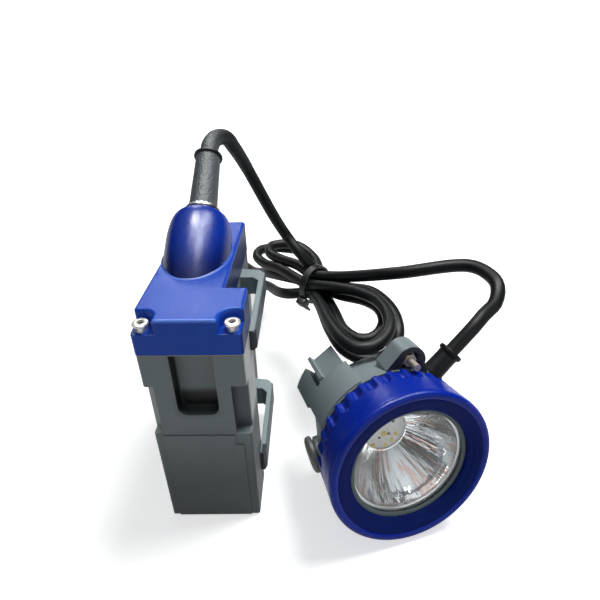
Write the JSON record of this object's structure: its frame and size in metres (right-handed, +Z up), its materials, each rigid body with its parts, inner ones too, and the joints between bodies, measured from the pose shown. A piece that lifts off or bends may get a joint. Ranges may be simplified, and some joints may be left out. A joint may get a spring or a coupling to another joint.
{
  "type": "miner's cap lamp with belt battery",
  "caption": "Miner's cap lamp: upright belt battery with a domed lid and belt loops, a round headlamp with bezel, reflector and side switch, joined by a cable tied in a hank.",
  "frame": {"origin": "centre of the battery lid's bounding rectangle, on the floor the battery stands on", "axes": "X to the right across the battery's front, Y to the back, Z up"},
  "size_m": [0.1841, 0.2645, 0.1467],
  "materials": {
    "case_plastic": "fine matte dark grey",
    "blue_plastic": "satin royal blue",
    "gasket": "beige foam rubber",
    "steel": "turned stainless",
    "brass": "turned brass",
    "loop_plastic": "light grey",
    "cell_wrap": "shrink sleeve",
    "black_plastic": "matte black",
    "foam": "closed foam",
    "nickel": "nickel strip",
    "board": "solder resist",
    "lead_wire": "insulated wire",
    "black_rubber": "moulded rubber",
    "relief_rubber": "dark grey moulded rubber",
    "cable_rubber": "smooth black sheath",
    "lamp_plastic": "mid grey",
    "lens_glass": "clear flat glass",
    "mirror_chrome": "metallised reflector",
    "white_board": "white solder resist",
    "led_phosphor": "yellow phosphor",
    "aluminium": "machined",
    "knob_plastic": "grey plastic",
    "seal_white": "pale seal rings"
  },
  "bodies": {
    "lamp_set": {"battery_case": "case_plastic", "battery_lid": "blue_plastic", "lid_gasket": "gasket", "lid_screws": "steel", "threaded_inserts": "brass", "belt_loop_upper": "loop_plastic", "belt_loop_lower": "loop_plastic", "battery_cells": "cell_wrap", "cell_cradle": "black_plastic", "cell_pad": "foam", "nickel_strips": "nickel", "protection_board": "board", "board_parts": "black_plastic", "battery_leads": "lead_wire", "outlet_ring": "black_rubber", "crimp_ring": "steel", "cable_relief": "relief_rubber", "relief_sleeve": "relief_rubber", "cable": "cable_rubber", "cable_tie": "black_plastic", "lamp_housing": "lamp_plastic", "lamp_bezel": "blue_plastic", "housing_o_ring": "black_rubber", "lens": "lens_glass", "lens_seal": "black_rubber", "reflector": "mirror_chrome", "led_board": "white_board", "main_led": "led_phosphor", "aux_leds": "led_phosphor", "led_resistors": "black_plastic", "heat_sink": "aluminium", "lamp_leads": "lead_wire", "helmet_clip": "lamp_plastic", "clip_screws": "steel", "charging_lug": "lamp_plastic", "stud_insulator": "black_plastic", "charging_stud": "steel", "stud_nut": "steel", "cable_boot": "black_rubber", "switch_seals": "seal_white", "switch_body": "black_plastic"},
    "knob": {"switch_knob": "knob_plastic"}
  },
  "joints": [
    {"name": "switch_turn", "type": "hinge", "parent": "lamp_set", "child": "knob", "pos_m": [0.04197, -0.03402, 0.02665], "axis": [-0.9366, -0.3147, -0.1541], "range_deg": [0, 90]}
  ]
}
